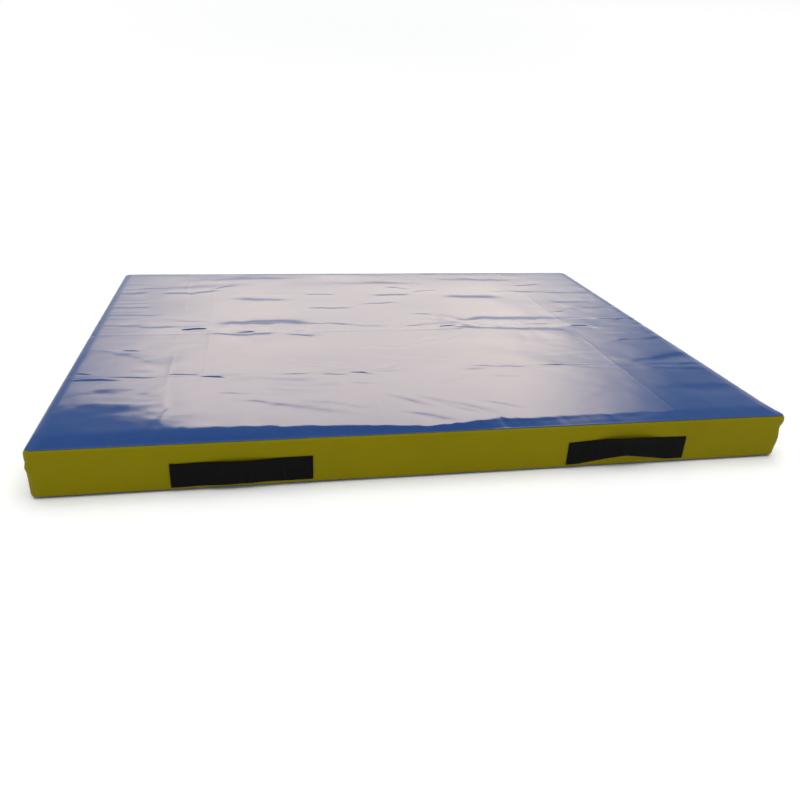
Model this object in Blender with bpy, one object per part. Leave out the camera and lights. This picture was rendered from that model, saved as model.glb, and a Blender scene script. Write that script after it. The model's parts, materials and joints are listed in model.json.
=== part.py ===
"""A two-section folding gym mat, 1.5 x 1.2 x 0.1 m.

Each section is a foam block in a sewn vinyl cover: a blue top sheet, a yellow side band, a yellow wall at the fold and
a base sheet. The two top sheets are one piece of vinyl, which is the hinge: the rear section turns up and over until
the tops meet. Each long side has two webbing handles, and each section has a zip in one end, so that its foam comes out.

The origin is on the floor at the middle of the mat. X runs along the long side, the front is at -Y, and +Z is up.
The rear section is the front one turned half a turn about Z, so the front one's meshes serve both.
"""

import math

import bmesh
import bpy
from mathutils import Vector

# Driving dimensions, in metres.
LENGTH = 1.500
DEPTH = 1.200
HEIGHT = 0.100
SKIN = 0.001  # vinyl
TOUCH = 0.0003  # gap left between pieces that touch
CORNER_RADIUS = 0.012  # upright corners of the mat, seen from above
ARC_STEPS = 6

# The fold. Its line lies just above the top sheet, so the tops end up face to face with a gap of twice this.
FOLD_RISE = 0.0005
FOLD_Z = HEIGHT + FOLD_RISE
FOLD_GAP = 0.002  # between the two fold walls
FOLD_CORNER_RADIUS = 0.006
FOLD_STRIP = 0.008  # width of the top sheet's stretch that flexes

# Foam, which is a little smaller than its cover.
FOAM_SLACK = 0.0026  # behind the side band, with room for the handles' backing
FOAM_ZIP_SLACK = 0.0055  # behind the zip, with room for the slider
FOAM_EDGE_RADIUS = 0.008

# Handles: webbing sewn flat at both ends, with a free grip that stands off the band.
HANDLE_X = {-1: -0.377, 1: 0.397}  # the left and right ones of the front, which are sewn a little unevenly
HANDLE_Z = 0.0355
WEBBING_WIDTH = 0.050
WEBBING = 0.002
HANDLE_LENGTH = 0.260
TAB_LENGTH = 0.050
GRIP_STANDOFF = 0.012
GRIP_RAMP = 0.050  # length over which the grip leaves the band
GRIP_STEPS = 8  # in each ramp
BACKING_MARGIN = 0.010  # the backing patch is this much larger than the handle, each way

# Zip, across the end of the section.
ZIP_Z = 0.030
ZIP_LENGTH = 0.540
ZIP_FROM_FRONT = 0.040  # from the mat's front to the parked slider
ZIP_DEEP = 0.002  # the chain's middle, in from the band's face
ZIP_SLOT = 0.013  # opening in the band
CHAIN_WIDTH = 0.007
CHAIN_THICK = 0.0026
TAPE_WIDTH = 0.012
SLIDER_LENGTH = 0.014
SLIDER_WIDTH = 0.0115
SLIDER_PLATE = 0.0012
SLIDER_ROOM = 0.0003  # between the slider and the chain
STOP_LENGTH = 0.003
BRIDGE_WIDTH = 0.002
BRIDGE_THICK = 0.0012
BRIDGE_HEIGHT = 0.004  # above the slider's upper plate
BRIDGE_LENGTH = 0.0104
BRIDGE_CHAMFER = 0.0015
PULL_LENGTH = 0.030
PULL_WIDTH = 0.0064
PULL_THICK = 0.0012
PULL_BAR = 0.0016
PULL_EYE = 0.0054  # length of the hole round the bridge
PULL_ROOM = 0.0005  # between the hole's sides and the bridge

# Colour, roughness and metallic value of each material.
MATERIALS = {
    "top_vinyl": ((0.009, 0.046, 0.178), 0.10, 0.0),
    "side_vinyl": ((0.216, 0.177, 0.001), 0.42, 0.0),
    "base_vinyl": ((0.020, 0.045, 0.150), 0.60, 0.0),
    "webbing": ((0.002, 0.002, 0.002), 0.72, 0.0),
    "foam": ((0.78, 0.74, 0.62), 0.95, 0.0),
    "zip_tape": ((0.015, 0.015, 0.016), 0.90, 0.0),
    "zip_coil": ((0.030, 0.030, 0.033), 0.45, 0.0),
    "zip_metal": ((0.62, 0.61, 0.59), 0.25, 1.0),
}


# ---------------------------------------------------------------- tools


def clear_scene():
    for obj in list(bpy.data.objects):
        bpy.data.objects.remove(obj)


def make_materials():
    for name, (colour, roughness, metallic) in MATERIALS.items():
        material = bpy.data.materials.new(name)
        material.use_nodes = True
        shader = material.node_tree.nodes["Principled BSDF"]
        shader.inputs["Base Color"].default_value = (*colour, 1.0)
        shader.inputs["Roughness"].default_value = roughness
        shader.inputs["Metallic"].default_value = metallic


def empty(name, location, parent=None, turned=False):
    """A frame to hang pieces on, turned half a turn about Z if asked."""
    frame = bpy.data.objects.new(name, None)
    bpy.context.collection.objects.link(frame)
    frame.parent = parent
    frame.location = location
    frame.rotation_euler.z = math.pi if turned else 0.0
    return frame


def add(name, mesh, material, parent, location=(0, 0, 0)):
    obj = bpy.data.objects.new(name, mesh)
    bpy.context.collection.objects.link(obj)
    obj.parent = parent
    obj.location = location
    if not mesh.materials:
        mesh.materials.append(bpy.data.materials[material])
    return obj


def finish_mesh(name, bm):
    bmesh.ops.recalc_face_normals(bm, faces=bm.faces)
    mesh = bpy.data.meshes.new(name)
    bm.to_mesh(mesh)
    bm.free()
    mesh.set_sharp_from_angle(angle=math.radians(40))
    return mesh


def prism(name, outline, low, high, axis="z"):
    """A solid with the given outline, extruded from low to high along an axis.

    The outline's two numbers are x and y for axis z, and y and z for axis x.
    """
    bm = bmesh.new()
    if axis == "x":
        corners = [Vector((low, a, b)) for a, b in outline]
        along = Vector((high - low, 0, 0))
    else:
        corners = [Vector((a, b, low)) for a, b in outline]
        along = Vector((0, 0, high - low))
    face = bm.faces.new([bm.verts.new(c) for c in corners])
    made = bmesh.ops.extrude_face_region(bm, geom=[face], use_keep_orig=True)
    moved = [v for v in made["geom"] if isinstance(v, bmesh.types.BMVert)]
    bmesh.ops.translate(bm, verts=moved, vec=along)
    return finish_mesh(name, bm)


def box(name, low, high):
    outline = [(low[0], low[1]), (high[0], low[1]), (high[0], high[1]), (low[0], high[1])]
    return prism(name, outline, low[2], high[2])


def upright_sheet(name, path, low, high):
    """A sheet that stands on a path seen from above, for a Solidify to thicken."""
    bm = bmesh.new()
    rows = [[bm.verts.new((x, y, z)) for x, y in path] for z in (low, high)]
    for i in range(len(path) - 1):
        bm.faces.new((rows[0][i], rows[0][i + 1], rows[1][i + 1], rows[1][i]))
    mesh = bpy.data.meshes.new(name)
    bm.to_mesh(mesh)
    bm.free()
    return mesh


def thicken(obj, thickness, offset):
    """Offset -1 puts the thickness behind the sheet's faces, and 1 in front of them."""
    solidify = obj.modifiers.new("Thickness", "SOLIDIFY")
    solidify.thickness = thickness
    solidify.offset = offset
    solidify.use_even_offset = True


def combine(obj, operation, name, mesh, location=(0, 0, 0)):
    """Joins a helper's shape to a piece, or cuts it out. The helper is seen only as a wire."""
    helper = bpy.data.objects.new(name, mesh)
    bpy.context.collection.objects.link(helper)
    helper.parent = obj
    helper.location = location
    helper.hide_render = True
    helper.display_type = "WIRE"
    boolean = obj.modifiers.new(name, "BOOLEAN")
    boolean.operation = operation
    boolean.object = helper


def arc(centre, radius, start, stop, steps=ARC_STEPS):
    """Points round part of a circle, angles in degrees."""
    turns = [math.radians(start + (stop - start) * i / steps) for i in range(steps + 1)]
    return [(centre[0] + radius * math.cos(t), centre[1] + radius * math.sin(t)) for t in turns]


# ---------------------------------------------------------------- outlines of the front section, seen from above


def band_path():
    """Round the section from its left fold corner, by the front, to its right fold corner."""
    left = -LENGTH / 2
    right = LENGTH / 2
    front = -DEPTH / 2
    fold = -FOLD_GAP / 2
    outer = CORNER_RADIUS
    inner = FOLD_CORNER_RADIUS
    return [
        *arc((left + inner, fold - inner), inner, 90, 180),
        *arc((left + outer, front + outer), outer, 180, 270),
        *arc((right - outer, front + outer), outer, 270, 360),
        *arc((right - inner, fold - inner), inner, 0, 90),
    ]


def sheet_outline():
    """The section's outline, without the stretch of top sheet that flexes at the fold."""
    edge = -FOLD_STRIP / 2
    half = LENGTH / 2
    radius = CORNER_RADIUS
    front = -DEPTH / 2
    return [
        (-half, edge),
        *arc((-half + radius, front + radius), radius, 180, 270),
        *arc((half - radius, front + radius), radius, 270, 360),
        (half, edge),
    ]


# ---------------------------------------------------------------- section: foam and cover


def make_section(half, frame):
    """The foam block and the five pieces of its cover."""
    down = (0, 0, -FOLD_Z)

    foam = add(f"{half}_foam_core", shared("foam", foam_mesh), "foam", frame, down)
    bevel = foam.modifiers.new("Soft edges", "BEVEL")
    bevel.width = FOAM_EDGE_RADIUS
    bevel.segments = 3
    bevel.limit_method = "ANGLE"

    add(f"{half}_top_sheet", shared("top", top_sheet_mesh), "top_vinyl", frame, down)
    add(f"{half}_base_sheet", shared("base", base_sheet_mesh), "base_vinyl", frame, down)
    add(f"{half}_fold_wall", shared("fold wall", fold_wall_mesh), "side_vinyl", frame, down)

    band = add(f"{half}_side_band", shared("band", band_mesh), "side_vinyl", frame, down)
    thicken(band, SKIN, -1)
    slot = shared("zip slot", zip_slot_mesh)
    combine(band, "DIFFERENCE", f"{half}_zip_slot_cutter", slot)


_meshes = {}


def shared(name, make):
    """The mesh of that name, made once and used by both sections."""
    if name not in _meshes:
        _meshes[name] = make(name)
    return _meshes[name]


def foam_mesh(name):
    left = -LENGTH / 2 + FOAM_ZIP_SLACK
    right = LENGTH / 2 - FOAM_SLACK
    front = -DEPTH / 2 + FOAM_SLACK
    fold = -FOLD_GAP / 2 - SKIN - TOUCH
    low = SKIN + TOUCH
    return box(name, (left, front, low), (right, fold, HEIGHT - low))


def top_sheet_mesh(name):
    return prism(name, sheet_outline(), HEIGHT - SKIN, HEIGHT)


def base_sheet_mesh(name):
    return prism(name, band_path(), 0.0, SKIN)


def band_mesh(name):
    return upright_sheet(name, band_path(), SKIN + TOUCH, HEIGHT - SKIN - TOUCH)


def fold_wall_mesh(name):
    half = LENGTH / 2 - FOLD_CORNER_RADIUS - TOUCH
    face = -FOLD_GAP / 2
    low = SKIN + TOUCH
    return box(name, (-half, face - SKIN, low), (half, face, HEIGHT - low))


def zip_slot_mesh(name):
    margin = SKIN
    start = -DEPTH / 2 + ZIP_FROM_FRONT - SLIDER_LENGTH
    left = -LENGTH / 2
    return box(
        name,
        (left - margin, start, ZIP_Z - ZIP_SLOT / 2),
        (left + SKIN + margin, start + ZIP_LENGTH, ZIP_Z + ZIP_SLOT / 2),
    )


def make_fold_strip(frame):
    """The stretch of the one top sheet that flexes between the two sections."""
    half_width = FOLD_STRIP / 2 - TOUCH
    low = (-LENGTH / 2, -half_width, HEIGHT - SKIN)
    high = (LENGTH / 2, half_width, HEIGHT)
    add("fold_strip", box("fold strip", low, high), "top_vinyl", frame, (0, 0, -FOLD_Z))


# ---------------------------------------------------------------- handles


def grip_path():
    """The grip's inner face seen from above: up a smooth ramp, level, and down again. Its ends touch the band."""
    half = HANDLE_LENGTH / 2 - TAB_LENGTH - TOUCH
    ramp = [i / GRIP_STEPS for i in range(GRIP_STEPS + 1)]
    rise = [TOUCH + (GRIP_STANDOFF - TOUCH) * t * t * (3 - 2 * t) for t in ramp]
    left = [(-half + GRIP_RAMP * t, -y) for t, y in zip(ramp, rise, strict=True)]
    right = [(-x, y) for x, y in reversed(left)]
    return left + right


def grip_mesh(name):
    return upright_sheet(name, grip_path(), -WEBBING_WIDTH / 2, WEBBING_WIDTH / 2)


def tab_mesh(name):
    half = TAB_LENGTH / 2
    return box(
        name,
        (-half, -TOUCH - WEBBING, -WEBBING_WIDTH / 2),
        (half, -TOUCH, WEBBING_WIDTH / 2),
    )


def backing_mesh(name):
    """A patch inside the cover that spreads the handle's pull."""
    half = HANDLE_LENGTH / 2 + BACKING_MARGIN
    face = SKIN + TOUCH
    high = WEBBING_WIDTH / 2 + BACKING_MARGIN
    low = -HANDLE_Z + SKIN + 2 * TOUCH
    return box(name, (-half, face, low), (half, face + SKIN, high))


def make_handle(half, frame, side, word):
    """One handle. side is -1 or 1 along the section's own X, and word is the side of the mat that it ends up on."""
    name = f"{half}_{word}_handle"
    at = Vector((HANDLE_X[side], -DEPTH / 2, HANDLE_Z - FOLD_Z))
    add(f"{name}_backing", shared("backing", backing_mesh), "side_vinyl", frame, at)
    reach = HANDLE_LENGTH / 2 - TAB_LENGTH / 2
    for end in (-1, 1):
        turned = end if half == "front" else -end
        tab = f"{name}_{'left' if turned < 0 else 'right'}_tab"
        add(tab, shared("tab", tab_mesh), "webbing", frame, at + Vector((end * reach, 0, 0)))
    grip = add(f"{name}_grip", shared("grip", grip_mesh), "webbing", frame, at)
    thicken(grip, WEBBING, 1)


# ---------------------------------------------------------------- zip
# In the zip's own frame the origin is the middle of the parked slider, +X points out of the mat, and the closed chain
# runs towards -Y.


def chain_span():
    """Where the closed chain begins and ends."""
    return -ZIP_LENGTH + 2 * SLIDER_LENGTH, SLIDER_LENGTH / 4


def tape_mesh(name):
    """One tape, which stops short of the chain so that the slider can pass."""
    start = chain_span()[0] - SLIDER_LENGTH / 2
    low = SLIDER_WIDTH / 2 + TOUCH
    return box(name, (-SKIN / 2, start, low), (SKIN / 2, SLIDER_LENGTH, low + TAPE_WIDTH))


def chain_mesh(name):
    start, stop = chain_span()
    return box(
        name,
        (-CHAIN_THICK / 2, start, -CHAIN_WIDTH / 2),
        (CHAIN_THICK / 2, stop, CHAIN_WIDTH / 2),
    )


def stop_mesh(name):
    """A metal clip across the gap between the two tapes."""
    half = STOP_LENGTH / 2
    width = SLIDER_WIDTH / 2
    return box(name, (-CHAIN_THICK / 2, -half, -width), (CHAIN_THICK / 2, half, width))


def slider_mesh(name):
    reach = CHAIN_THICK / 2 + SLIDER_ROOM + SLIDER_PLATE
    half = SLIDER_LENGTH / 2
    width = SLIDER_WIDTH / 2
    return box(name, (-reach, -half, -width), (reach, half, width))


def channel_mesh(name):
    """The way through the slider for the chain."""
    reach = CHAIN_THICK / 2 + SLIDER_ROOM
    width = CHAIN_WIDTH / 2 + SLIDER_ROOM
    return box(name, (-reach, -SLIDER_LENGTH, -width), (reach, SLIDER_LENGTH, width))


def bridge_mesh(name):
    """The arch over the upper plate that holds the pull. Its feet reach into the plate."""
    foot = CHAIN_THICK / 2 + SLIDER_ROOM + SLIDER_PLATE / 2
    top = CHAIN_THICK / 2 + SLIDER_ROOM + SLIDER_PLATE + BRIDGE_HEIGHT
    outer = BRIDGE_LENGTH / 2
    inner = outer - BRIDGE_THICK
    cut = BRIDGE_CHAMFER
    outside = [(foot, outer), (top - cut, outer), (top, outer - cut)]
    under = top - BRIDGE_THICK
    inside = [(foot, inner), (under - cut / 2, inner), (under, inner - cut / 2)]
    outline = [
        *outside,
        *[(x, -y) for x, y in reversed(outside)],
        *[(x, -y) for x, y in inside],
        *reversed(inside),
    ]
    return prism(name, outline, -BRIDGE_WIDTH / 2, BRIDGE_WIDTH / 2)


def pull_axis():
    """How far the pull's axis is from the chain's middle."""
    return CHAIN_THICK / 2 + SLIDER_ROOM + SLIDER_PLATE + (BRIDGE_HEIGHT - BRIDGE_THICK) / 2


def pull_mesh(name):
    """The tab, which lies back over the chain, with its bar on the origin. Its free end is round."""
    half = PULL_WIDTH / 2
    near = PULL_BAR / 2
    outline = [(near, half), *arc((half - PULL_LENGTH, 0), half, 90, 270), (near, -half)]
    return prism(name, outline, -PULL_THICK / 2, PULL_THICK / 2, axis="x")


def eye_mesh(name):
    width = BRIDGE_WIDTH / 2 + PULL_ROOM
    near = -PULL_BAR / 2
    return box(name, (-PULL_THICK, near - PULL_EYE, -width), (PULL_THICK, near, width))


def make_zip(half, section_frame):
    """The zip in the end of the section: two tapes, chain, stops, slider and pull."""
    at = (-LENGTH / 2 + ZIP_DEEP, -DEPTH / 2 + ZIP_FROM_FRONT, ZIP_Z - FOLD_Z)
    frame = empty(f"{half}_zip_frame", at, section_frame, turned=True)
    add(f"{half}_zip_upper_tape", shared("tape", tape_mesh), "zip_tape", frame)
    lower_drop = (0, 0, -(SLIDER_WIDTH + 2 * TOUCH + TAPE_WIDTH))
    add(f"{half}_zip_lower_tape", shared("tape", tape_mesh), "zip_tape", frame, lower_drop)
    add(f"{half}_zip_chain", shared("chain", chain_mesh), "zip_coil", frame)
    start = chain_span()[0]
    from_end = STOP_LENGTH / 2 + TOUCH
    top_stop = (0, SLIDER_LENGTH / 2 + from_end, 0)
    add(f"{half}_zip_top_stop", shared("stop", stop_mesh), "zip_metal", frame, top_stop)
    bottom_stop = (0, start - from_end, 0)
    add(f"{half}_zip_bottom_stop", shared("stop", stop_mesh), "zip_metal", frame, bottom_stop)

    slider = add(f"{half}_zip_slider", shared("slider", slider_mesh), "zip_metal", frame)
    bevel = slider.modifiers.new("Soft edges", "BEVEL")
    bevel.width = SLIDER_PLATE / 3
    bevel.segments = 1
    combine(slider, "DIFFERENCE", f"{half}_slider_channel", shared("channel", channel_mesh))
    combine(slider, "UNION", f"{half}_slider_bridge", shared("bridge", bridge_mesh))
    pull = add(f"{half}_zip_pull", shared("pull", pull_mesh), "zip_metal", frame, (pull_axis(), 0, 0))
    combine(pull, "DIFFERENCE", f"{half}_pull_eye", shared("eye", eye_mesh))


# ---------------------------------------------------------------- the mat


def main():
    clear_scene()
    make_materials()
    for half in ("front", "rear"):
        rear = half == "rear"
        frame = empty(f"{half}_section_frame", (0, 0, FOLD_Z), turned=rear)
        make_section(half, frame)
        for side in (-1, 1):
            on_left = side > 0 if rear else side < 0
            make_handle(half, frame, side, "left" if on_left else "right")
        make_zip(half, frame)
        if not rear:
            make_fold_strip(frame)


main()
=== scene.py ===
"""The looks of a two-section folding gym mat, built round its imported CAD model.

The cover is sewn vinyl over foam: one blue top sheet that crosses the fold, yellow bands and fold walls, and
dotted base sheets. Handles are woven webbing with box stitching, and the zips have coils, tapes, stops, sliders
and pulls. Lengths are in metres. u and v are shares of the mat's length and depth, from its front left corner.
"""

import functools
import json
import math
from typing import NamedTuple

import bmesh
import bpy
import numpy as np
from mathutils import Matrix, Vector


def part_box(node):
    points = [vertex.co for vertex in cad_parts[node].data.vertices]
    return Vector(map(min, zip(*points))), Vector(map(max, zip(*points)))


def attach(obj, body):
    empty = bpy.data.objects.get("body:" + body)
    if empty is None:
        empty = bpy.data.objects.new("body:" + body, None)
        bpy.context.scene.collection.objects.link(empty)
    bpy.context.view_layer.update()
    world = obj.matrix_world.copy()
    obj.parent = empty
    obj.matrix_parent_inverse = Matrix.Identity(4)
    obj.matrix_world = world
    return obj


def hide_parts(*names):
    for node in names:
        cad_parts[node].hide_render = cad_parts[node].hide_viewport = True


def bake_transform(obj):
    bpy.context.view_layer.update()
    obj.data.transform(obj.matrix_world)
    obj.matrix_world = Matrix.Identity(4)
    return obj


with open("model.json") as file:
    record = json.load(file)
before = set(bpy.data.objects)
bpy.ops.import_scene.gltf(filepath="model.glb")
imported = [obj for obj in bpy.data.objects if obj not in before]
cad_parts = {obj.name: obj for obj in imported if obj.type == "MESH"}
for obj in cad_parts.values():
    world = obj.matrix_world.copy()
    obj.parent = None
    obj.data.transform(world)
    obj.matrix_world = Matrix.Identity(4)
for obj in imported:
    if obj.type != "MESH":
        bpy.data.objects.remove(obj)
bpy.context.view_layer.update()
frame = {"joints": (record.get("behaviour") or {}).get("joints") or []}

# ---- measures, from the frame

TOP_LOW, TOP_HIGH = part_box("front_top_sheet")
LEFT, RIGHT = TOP_LOW.x, TOP_HIGH.x
FRONT = TOP_LOW.y
BACK = -FRONT
LENGTH = RIGHT - LEFT
DEPTH = BACK - FRONT
TOP = TOP_HIGH.z
WALL = -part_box("front_side_band")[1].y  # from the fold's middle to each fold wall
TRAVEL = next(j for j in frame["joints"] if j["name"] == "front_zip_travel")["range_m"][1]
ZIP_PARTS = ("chain", "slider", "pull", "upper_tape", "lower_tape", "top_stop", "bottom_stop")
ZIP = {part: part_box(f"front_zip_{part}") for part in ZIP_PARTS}
ZIP_Z = (ZIP["chain"][0].z + ZIP["chain"][1].z) / 2
ZIP_START = ZIP["top_stop"][0].y - 0.002
ZIP_END = ZIP["bottom_stop"][1].y + 0.002
ZIP_HALF_SLOT = 0.0062  # half the height of its opening in the band
CORNER = 0.012  # radius of the upright corners, seen from above
FOLD_CORNER = 0.006

CROWN = TOP + 0.0002  # where the top lies between its creases
EDGE_Z = TOP - 0.0026  # where the top sheet turns down into the seam
SEAM_Z = TOP - 0.0038  # bottom of the groove between the top sheet and the band
SEAM_IN = 0.0045  # how far that groove lies inside the band's face
RIM_IN = 0.0026  # how far the top sheet's rim lies inside it
FOOT_Z = 0.0030  # groove between the band and the base sheet
FOOT_IN = 0.0040
HIGHEST = TOP + 0.0016  # above this the foam would have to stretch
SOFT_LIMIT = 0.0008  # how far below that the height begins to level off


# ---- shape tools


def smooth(t):
    t = np.clip(t, 0.0, 1.0)
    return t * t * (3 - 2 * t)


def bell(distance, width):
    return np.exp(-((distance / width) ** 2))


def noise(x, y, seed):
    """Smooth noise from -1 to 1 over a unit grid of seeded values."""
    size = 64
    grid = np.random.default_rng(seed).uniform(-1, 1, (size, size))
    x0, y0 = np.floor(x).astype(int), np.floor(y).astype(int)
    fx, fy = x - x0, y - y0
    fx, fy = fx * fx * (3 - 2 * fx), fy * fy * (3 - 2 * fy)

    def at(i, j):
        return grid[(x0 + i) % size, (y0 + j) % size]

    low = at(0, 0) * (1 - fx) + at(1, 0) * fx
    high = at(0, 1) * (1 - fx) + at(1, 1) * fx
    return low * (1 - fy) + high * fy


def add_object(name, data):
    obj = bpy.data.objects.new(name, data)
    bpy.context.scene.collection.objects.link(obj)
    return obj


def smooth_object(name, mesh, material):
    mesh.polygons.foreach_set("use_smooth", [True] * len(mesh.polygons))
    mesh.materials.append(material)
    return add_object(name, mesh)


def mesh_object(name, points, faces, material):
    mesh = bpy.data.meshes.new(name)
    mesh.from_pydata([tuple(p) for p in np.reshape(points, (-1, 3))], [], [tuple(f) for f in faces])
    mesh.update()
    return smooth_object(name, mesh, material)


def rectangle(left, right, low, high):
    return [(left, low), (right, low), (right, high), (left, high)]


def loop_lines(corners):
    return [*zip(corners, [*corners[1:], corners[0]], strict=True)]


def flipped(faces):
    return [f[::-1] for f in faces]


def grid_faces(rows, columns, keep=None):
    """Quads over a grid of points held row by row."""
    faces = []
    for i in range(rows - 1):
        for j in range(columns - 1):
            if keep is None or keep(i, j):
                a = i * columns + j
                faces.append((a, a + 1, a + columns + 1, a + columns))
    return faces


def thick_sheet(outer, inner, open_start=False):
    """Points and faces of a sheet between two grids of points, and its rim, without the first row's if open."""
    rows, columns = outer.shape[:2]
    size = rows * columns
    faces = grid_faces(rows, columns)
    faces += [tuple(size + i for i in f[::-1]) for f in faces]
    edges = []
    for i in range(rows - 1):
        edges += [(i * columns, (i + 1) * columns), ((i + 2) * columns - 1, (i + 1) * columns - 1)]
    for j in range(columns - 1):
        if not open_start:
            edges.append((j + 1, j))
        last = (rows - 1) * columns + j
        edges.append((last, last + 1))
    faces += [(a, b, b + size, a + size) for a, b in edges]
    return np.concatenate([outer.reshape(-1, 3), inner.reshape(-1, 3)]), faces


def add_cloth_uv(obj, p, q):
    """Coordinates in metres over a sheet's grid, the same on both of its faces."""
    cloth = np.stack([p, q], -1).reshape(-1, 2)
    layer = obj.data.uv_layers.new(name="cloth")
    loops = np.zeros(len(obj.data.loops), int)
    obj.data.loops.foreach_get("vertex_index", loops)
    layer.data.foreach_set("uv", np.concatenate([cloth, cloth])[loops].ravel())


def spaced(low, high, step, fine=(), fine_step=0.0015, fine_reach=0.012):
    """Positions from low to high, closer together near the places in fine."""
    places = [low]
    while places[-1] < high - 1e-9:
        here = places[-1]
        gap = min((abs(here - f) for f in fine), default=1.0)
        growth = np.clip((gap - fine_reach) / (4 * fine_reach), 0, 1)
        places.append(here + fine_step + (step - fine_step) * growth)
    places = np.array(places)
    return low + (places - low) * (high - low) / (places[-1] - low)


# ---- materials


def set_inputs(tree, made, inputs):
    for key, value in inputs.items():
        if isinstance(value, bpy.types.NodeSocket):
            tree.links.new(value, made.inputs[key])
        else:
            made.inputs[key].default_value = value


def node(tree, kind, inputs, **settings):
    made = tree.nodes.new(kind)
    for key, value in settings.items():
        setattr(made, key, value)
    set_inputs(tree, made, inputs)
    return made


def math_node(tree, operation, first, second):
    return node(tree, "ShaderNodeMath", {0: first, 1: second}, operation=operation).outputs["Value"]


def map_range(tree, value, low, high, before, after, **settings):
    """The change from one number to another as value goes from low to high."""
    inputs = {"Value": value, "From Min": low, "From Max": high, "To Min": before, "To Max": after}
    return node(tree, "ShaderNodeMapRange", inputs, **settings).outputs["Result"]


def ramp(tree, factor, stops):
    made = node(tree, "ShaderNodeValToRGB", {"Fac": factor})
    elements = made.color_ramp.elements
    while len(elements) < len(stops):
        elements.new(0.5)
    for element, (place, colour) in zip(elements, stops, strict=True):
        element.position = place
        element.color = (*colour, 1.0)
    return made.outputs["Color"]


def shade(colour, factor):
    return tuple(c * factor for c in colour)


class Surface:
    """A material in the making. Its patterns lie in the piece's own space, in metres."""

    def __init__(self, name):
        self.material = bpy.data.materials.new(name)
        self.material.use_nodes = True
        self.tree = self.material.node_tree

    @functools.cached_property
    def place(self):
        return node(self.tree, "ShaderNodeTexCoord", {}).outputs["Object"]

    def noise(self, scale, detail):
        inputs = {"Vector": self.place, "Scale": scale, "Detail": detail}
        return node(self.tree, "ShaderNodeTexNoise", inputs).outputs["Fac"]

    def cells(self, scale, randomness=1.0):
        inputs = {"Vector": self.place, "Scale": scale, "Randomness": randomness}
        return node(self.tree, "ShaderNodeTexVoronoi", inputs).outputs["Distance"]

    def tinted(self, factor, colour, *stops):
        """The colour, times a share at each place of factor."""
        return ramp(self.tree, factor, [(place, shade(colour, share)) for place, share in stops])

    def mixed(self, factor, first, colour):
        inputs = {"Factor": factor, 6: first, 7: (*colour, 1.0)}
        return node(self.tree, "ShaderNodeMix", inputs, data_type="RGBA").outputs[2]

    def bump(self, height, distance, strength=1.0, **under):
        inputs = {"Height": height, "Distance": distance, "Strength": strength, **under}
        return node(self.tree, "ShaderNodeBump", inputs).outputs["Normal"]

    def finish(self, colour, roughness, **others):
        """Sets the shader's inputs, with _ for the spaces in their names, and gives the material."""
        inputs = {"Base Color": colour, "Roughness": roughness}
        inputs.update({name.replace("_", " "): value for name, value in others.items()})
        set_inputs(self.tree, self.tree.nodes["Principled BSDF"], inputs)
        return self.material


def vinyl(name, colour, roughness, specular, grain, dents):
    """PVC-coated fabric: faint mottling, a fine calendered grain over the scrim's weave, and uneven gloss."""
    made = Surface(name)
    mottled = made.tinted(made.noise(9.0, 4.0), colour, (0.3, 0.94), (0.7, 1.06))
    speckled = made.mixed(made.noise(420.0, 2.0), mottled, shade(colour, 0.93))
    gloss = map_range(made.tree, made.noise(23.0, 6.0), 0.35, 0.75, roughness, roughness * 1.5 + 0.02)
    leather = made.bump(made.cells(900.0), 0.0004, grain)
    normal = made.bump(made.noise(60.0, 3.0), 0.0006, dents, Normal=leather)
    return made.finish(speckled, gloss, Normal=normal, IOR=1.5, Specular_IOR_Level=specular)


def grip_vinyl(name, colour):
    """The base sheet's matte vinyl, embossed with small raised dots, which carry a painted highlight."""
    made = Surface(name)
    height = map_range(made.tree, made.cells(240.0, 0.12), 0.12, 0.42, 1.0, 0.0)
    mottled = made.tinted(made.noise(7.0, 5.0), colour, (0.3, 0.85), (0.7, 1.15))
    # The raised dots are drawn half as light again as the sheet between them, by the same height as their bump: a
    # painted highlight on their tops.
    dot_tops_highlight = made.mixed(height, mottled, shade(colour, 1.5))
    return made.finish(dot_tops_highlight, 0.62, Normal=made.bump(height, 0.0006, 0.8))


def woven(name, colour):
    """Flat woven tape: ribs across and along it, from its own coordinates in metres, with painted shade in the
    troughs and painted highlight on the ribs.
    """
    made = Surface(name)
    uv = node(made.tree, "ShaderNodeUVMap", {}, uv_map="cloth").outputs["UV"]
    ribs = []
    for scale, distortion, direction in [(95.0, 0.4, "X"), (170.0, 0.6, "Y")]:
        inputs = {"Vector": uv, "Scale": scale, "Distortion": distortion, "Detail": 1.0}
        ribs.append(node(made.tree, "ShaderNodeTexWave", inputs, bands_direction=direction).outputs["Fac"])
    weave = math_node(made.tree, "MULTIPLY", *ribs)
    # The weave's troughs are drawn darker and its ribs lighter, by the same pattern as its bump: painted shade
    # and painted highlight.
    shaded = made.tinted(weave, colour, (0.0, 0.45), (0.7, 1.5))
    faded = made.mixed(made.noise(55.0, 5.0), shaded, shade(colour, 1.25))
    return made.finish(faded, 0.72, Normal=made.bump(weave, 0.0007, 0.9), Specular_IOR_Level=0.10)


def thread(name, colour):
    made = Surface(name)
    twist = made.noise(2500.0, 2.0)
    # The thread is drawn darker in the hollows of its twist and lighter on its ridges, by the same noise as its
    # bump: painted shade and painted highlight.
    shaded = made.tinted(twist, colour, (0.3, 0.6), (0.7, 1.3))
    return made.finish(shaded, 0.62, Normal=made.bump(twist, 0.0001), Specular_IOR_Level=0.15)


def open_foam(name, colour):
    made = Surface(name)
    cells = made.cells(700.0)
    # The pores are drawn darker, where the bump makes them hollow: painted shade in them.
    shaded = made.tinted(cells, colour, (0.0, 0.55), (0.5, 1.0))
    return made.finish(shaded, 0.95, Normal=made.bump(cells, 0.0008))


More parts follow.
